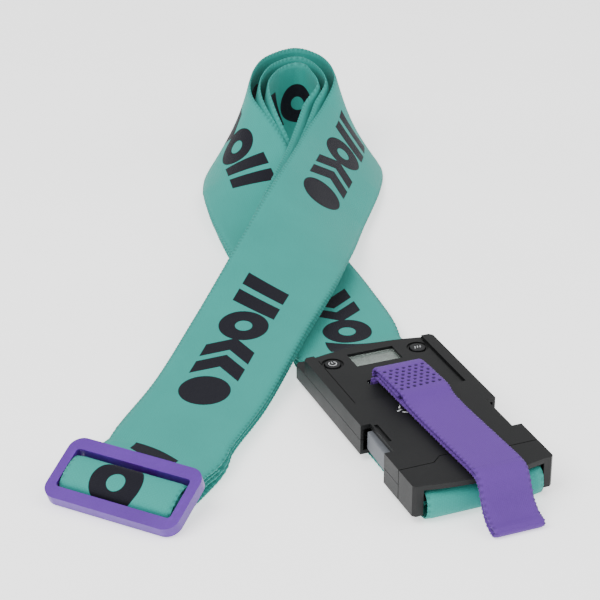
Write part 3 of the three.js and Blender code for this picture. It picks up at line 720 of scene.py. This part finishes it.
# ---------------------------------------------------------------- hard parts
for name in ("top_cover", "bottom_shell", "male_base"):
    softened(name, black_plastic)
for name in ("left_latch_arm", "right_latch_arm"):
    softened(name, lit_grey_pad_plastic, width=0.5)
softened("slider_frame", purple_plastic, width=1.3, segments=5)
softened("battery_cap", black_plastic, width=0.25)
for name in ("power_button", "unit_button"):
    softened(name, button_plastic, width=0.3)
paint_node(steel, "strap_pin", "load_yoke", "load_pin", "coin_battery", "battery_contact_top",
           "battery_contact_side", "cell_screw_left", "cell_screw_right",
           *(f"shell_screw_{i}" for i in range(1, 5)))
paint_node(aluminium, "load_cell")
paint_node(solder_mask, "circuit_board")
paint_node(button_plastic, "power_switch", "unit_switch", "driver_chip")
paint_node(display_panel, "lcd_panel")
paint_node(display_lens, "lcd_window")
paint_node(lead_rubber, "load_cell_lead", "battery_lead")


# ---------------------------------------------------------------- generic marks
MARK_THICK = 0.05


def ring_mark(name, place, radius, width, start, sweep, body):
    """A thin printed arc, flat in the buckle's frame, from the angle start through sweep degrees."""
    steps = 28
    verts, faces = [], []
    for i in range(steps + 1):
        angle = math.radians(start + sweep * i / steps)
        outward = Vector((math.cos(angle), math.sin(angle), 0))
        for height in (0, MARK_THICK):
            for reach in (radius, radius + width):
                corner = Vector(place) + outward * reach + Vector((0, 0, height))
                verts.append(BUCKLE @ corner + ORIGIN_SHIFT)
    for i in range(steps):
        a, b = 4 * i, 4 * i + 4
        faces.append((a, b, b + 1, a + 1))
        faces.append((a + 2, a + 3, b + 3, b + 2))
        faces.append((a, a + 2, b + 2, b))
        faces.append((a + 1, b + 1, b + 3, a + 3))
    faces.append((0, 1, 3, 2))
    faces.append((4 * steps, 4 * steps + 2, 4 * steps + 3, 4 * steps + 1))
    return finished(name, verts, faces, icon_ink, body)


def bar_mark(name, place, size, turn, body="scale_body"):
    """A short printed bar, flat in the buckle's frame, turned by turn degrees."""
    angle = math.radians(turn)
    along = Vector((math.cos(angle), math.sin(angle), 0)) * size[0] / 2
    aside = Vector((-math.sin(angle), math.cos(angle), 0)) * size[1] / 2
    verts = []
    for height in (0, MARK_THICK):
        for a, b in ((-1, -1), (1, -1), (1, 1), (-1, 1)):
            corner = Vector(place) + along * a + aside * b + Vector((0, 0, height))
            verts.append(BUCKLE @ corner + ORIGIN_SHIFT)
    faces = [(3, 2, 1, 0), (4, 5, 6, 7), (0, 1, 5, 4), (1, 2, 6, 5), (2, 3, 7, 6), (3, 0, 4, 7)]
    return finished(name, verts, faces, icon_ink, body)


BUTTON_X, BUTTON_Y, BUTTON_TOP = 19.7, 101.8, 12.62
COVER_TOP = 13.42
ring_mark("power_icon", (-BUTTON_X, BUTTON_Y, BUTTON_TOP), 1.45, 0.4, 120, 300, "power_button")
bar_mark("power_icon_bar", (-BUTTON_X, BUTTON_Y + 0.9, BUTTON_TOP), (0.4, 1.9), 0, "power_button")
for offset in (-1.2, 0, 1.2):
    bar_mark(f"unit_icon_{offset:.1f}", (BUTTON_X + offset, BUTTON_Y, BUTTON_TOP), (0.45, 1.7), -20,
             "unit_button")
for mark_x, mark_y, turn in ((-9.4, 57.2, 60), (-10.6, 54.6, 20), (-8.9, 52.4, -30)):
    bar_mark(f"cover_mark_{turn}", (mark_x, mark_y, COVER_TOP), (2.6, 0.7), turn)


# ---------------------------------------------------------------- floor and light
def make_stage():
    shader = Shader("floor_paper")
    speck = shader.noise(9, detail=4)
    tone = shader.mix(shader.spread(speck, 0.3, 0.7), (0.9, 0.9, 0.9, 1), (0.93, 0.93, 0.93, 1))
    shader.set(Base_Color=tone, Roughness=0.9, Emission_Color=tone)
    shader.surface.inputs["Emission Strength"].default_value = 1.1
    bpy.ops.mesh.primitive_plane_add(size=6, location=(0, 0, 0))
    floor = bpy.context.object
    floor.name = "floor"
    floor.data.materials.append(shader.material)
    world = bpy.data.worlds.new("studio")
    world.use_nodes = True
    world.node_tree.nodes["Background"].inputs["Color"].default_value = (1, 1, 1, 1)
    world.node_tree.nodes["Background"].inputs["Strength"].default_value = 0.85
    bpy.context.scene.world = world
    lamps = (("key", (-0.7, -0.6, 1.3), 1.1, 24), ("fill", (0.9, -0.3, 1.0), 1.2, 8))
    for name, place, size, watts in lamps:
        data = bpy.data.lights.new(name, "AREA")
        data.size, data.energy = size, watts
        lamp = bpy.data.objects.new(name, data)
        lamp.location = place
        lamp.rotation_euler = (-Vector(place)).to_track_quat("-Z", "Y").to_euler()
        bpy.context.scene.collection.objects.link(lamp)


make_stage()
